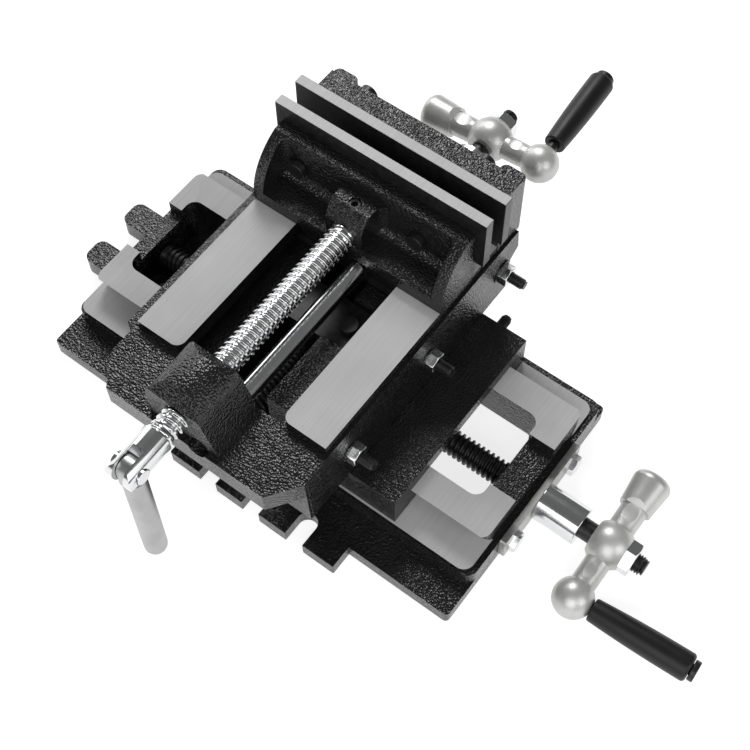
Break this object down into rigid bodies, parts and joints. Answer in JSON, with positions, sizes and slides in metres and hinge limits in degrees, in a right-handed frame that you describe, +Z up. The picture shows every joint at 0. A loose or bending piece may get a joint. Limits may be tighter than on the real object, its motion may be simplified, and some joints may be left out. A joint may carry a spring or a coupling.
{
  "type": "cross slide vise",
  "caption": "Drill press vise on two crossed dovetail slides: crank screws move the vise along and across, and a folding-handle screw closes its jaw.",
  "frame": {"origin": "underside of the base, under the middle of the lower slide", "axes": "+X along the lower slide towards its crank, +Y along the jaw screw towards the fixed jaw, +Z up"},
  "size_m": [0.3944, 0.3646, 0.1332],
  "materials": {
    "enamel": "black hammered enamel on cast iron",
    "ground": "surface ground",
    "chrome": "bright plated",
    "satin": "satin plated casting",
    "zinc": "zinc plated",
    "oxide": "black oxide steel",
    "plastic": "satin black"
  },
  "bodies": {
    "base": {"base_casting": "enamel", "x_end_plate": "zinc", "x_sleeve": "chrome", "x_plate_screws": "zinc"},
    "saddle": {"saddle_casting": "enamel", "x_feed_nut": "oxide", "x_nut_screws": "oxide", "y_feed_nut": "oxide", "y_nut_screws": "oxide", "x_gib": "ground", "x_gib_screws": "oxide", "x_gib_nuts": "zinc"},
    "vise_body": {"vise_casting": "enamel", "fixed_jaw_plate": "ground", "fixed_jaw_screws": "oxide", "y_gib": "ground", "y_gib_screws": "oxide", "y_gib_nuts": "zinc", "y_end_plate": "zinc", "y_sleeve": "chrome", "y_plate_screws": "zinc"},
    "x_drive": {"x_feed_screw": "oxide", "x_collar": "oxide", "x_crank_arm": "satin", "x_crank_nut": "zinc", "x_grip_stud": "oxide"},
    "x_hand": {"x_grip": "plastic"},
    "y_drive": {"y_feed_screw": "oxide", "y_collar": "oxide", "y_crank_arm": "satin", "y_crank_nut": "zinc", "y_grip_stud": "oxide"},
    "y_hand": {"y_grip": "plastic"},
    "jaw": {"moving_jaw": "enamel", "moving_jaw_plate": "ground", "moving_jaw_screws": "oxide", "guide_rod": "chrome", "keeper_strip": "ground", "keeper_screws": "oxide", "neck_set_screw": "oxide"},
    "clamp_screw": {"jaw_screw": "chrome", "handle_pin": "chrome"},
    "handle": {"handle_bar": "satin"}
  },
  "joints": [
    {"name": "x_crank_turn", "type": "hinge", "parent": "base", "child": "x_drive", "pos_m": [0.1725, 0, 0.0125], "axis": [-1, 0, 0], "range_deg": [-5760.1, 5760.1]},
    {"name": "x_grip_spin", "type": "hinge", "parent": "x_drive", "child": "x_hand", "pos_m": [0.1725, -0.03222, 0.00826], "axis": [0.9986, 0.0519, 0.0068], "continuous": true},
    {"name": "saddle_slide", "type": "slide", "parent": "base", "child": "saddle", "axis": [1, 0, 0], "range_m": [-0.048, 0.048]},
    {"name": "vise_slide", "type": "slide", "parent": "saddle", "child": "vise_body", "axis": [0, 1, 0], "range_m": [-0.03, 0.045]},
    {"name": "y_crank_turn", "type": "hinge", "parent": "vise_body", "child": "y_drive", "pos_m": [-0.0059, 0.151, 0.0437], "axis": [0, -1, 0], "range_deg": [-5400.1, 3600.1]},
    {"name": "y_grip_spin", "type": "hinge", "parent": "y_drive", "child": "y_hand", "pos_m": [0.02642, 0.151, 0.0471], "axis": [-0.052, 0.9986, -0.0055], "continuous": true},
    {"name": "jaw_slide", "type": "slide", "parent": "vise_body", "child": "jaw", "axis": [0, 1, 0], "range_m": [-0.084, 0.0096]},
    {"name": "jaw_screw_turn", "type": "hinge", "parent": "jaw", "child": "clamp_screw", "pos_m": [-0.0089, -0.132, 0.0972], "axis": [0, 1, 0], "range_deg": [-8400.2, 960.2]},
    {"name": "handle_fold", "type": "hinge", "parent": "clamp_screw", "child": "handle", "pos_m": [-0.0089, -0.132, 0.0972], "axis": [-0.9994, 0, -0.0349], "range_deg": [-2, 176]}
  ],
  "couplings": [
    {"joint": "x_crank_turn", "follows": "saddle_slide", "rad_per_m": 2094.4},
    {"joint": "y_crank_turn", "follows": "vise_slide", "rad_per_m": -2094.4},
    {"joint": "jaw_screw_turn", "follows": "jaw_slide", "rad_per_m": 1745.3}
  ]
}
